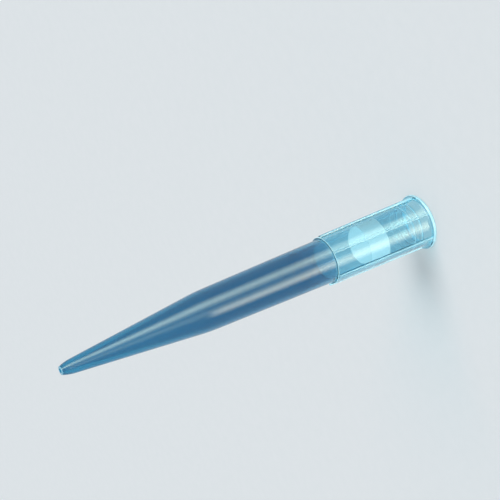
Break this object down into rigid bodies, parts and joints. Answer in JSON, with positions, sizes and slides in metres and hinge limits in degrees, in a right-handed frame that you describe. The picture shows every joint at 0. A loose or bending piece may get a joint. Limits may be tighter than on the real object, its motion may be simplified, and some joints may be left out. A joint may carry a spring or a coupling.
{
  "type": "filter pipette tip",
  "caption": "Clear blue tapered pipette tip with a ribbed collar, a flanged mouth and a white porous plug inside the collar, standing on its flange.",
  "frame": {"origin": "on the tip's axis, at the flat end of the flange that it stands on", "axes": "+Z along the tip's axis from the flange up to the nose; +X points between two ribs"},
  "size_m": [0.01, 0.01, 0.071],
  "materials": {
    "tip_body": "clear blue polypropylene, glossy collar and softer barrel",
    "filter_plug": "white sintered porous polyethylene"
  },
  "bodies": {
    "root": {"tip_body": "tip_body", "filter_plug": "filter_plug"}
  },
  "joints": []
}
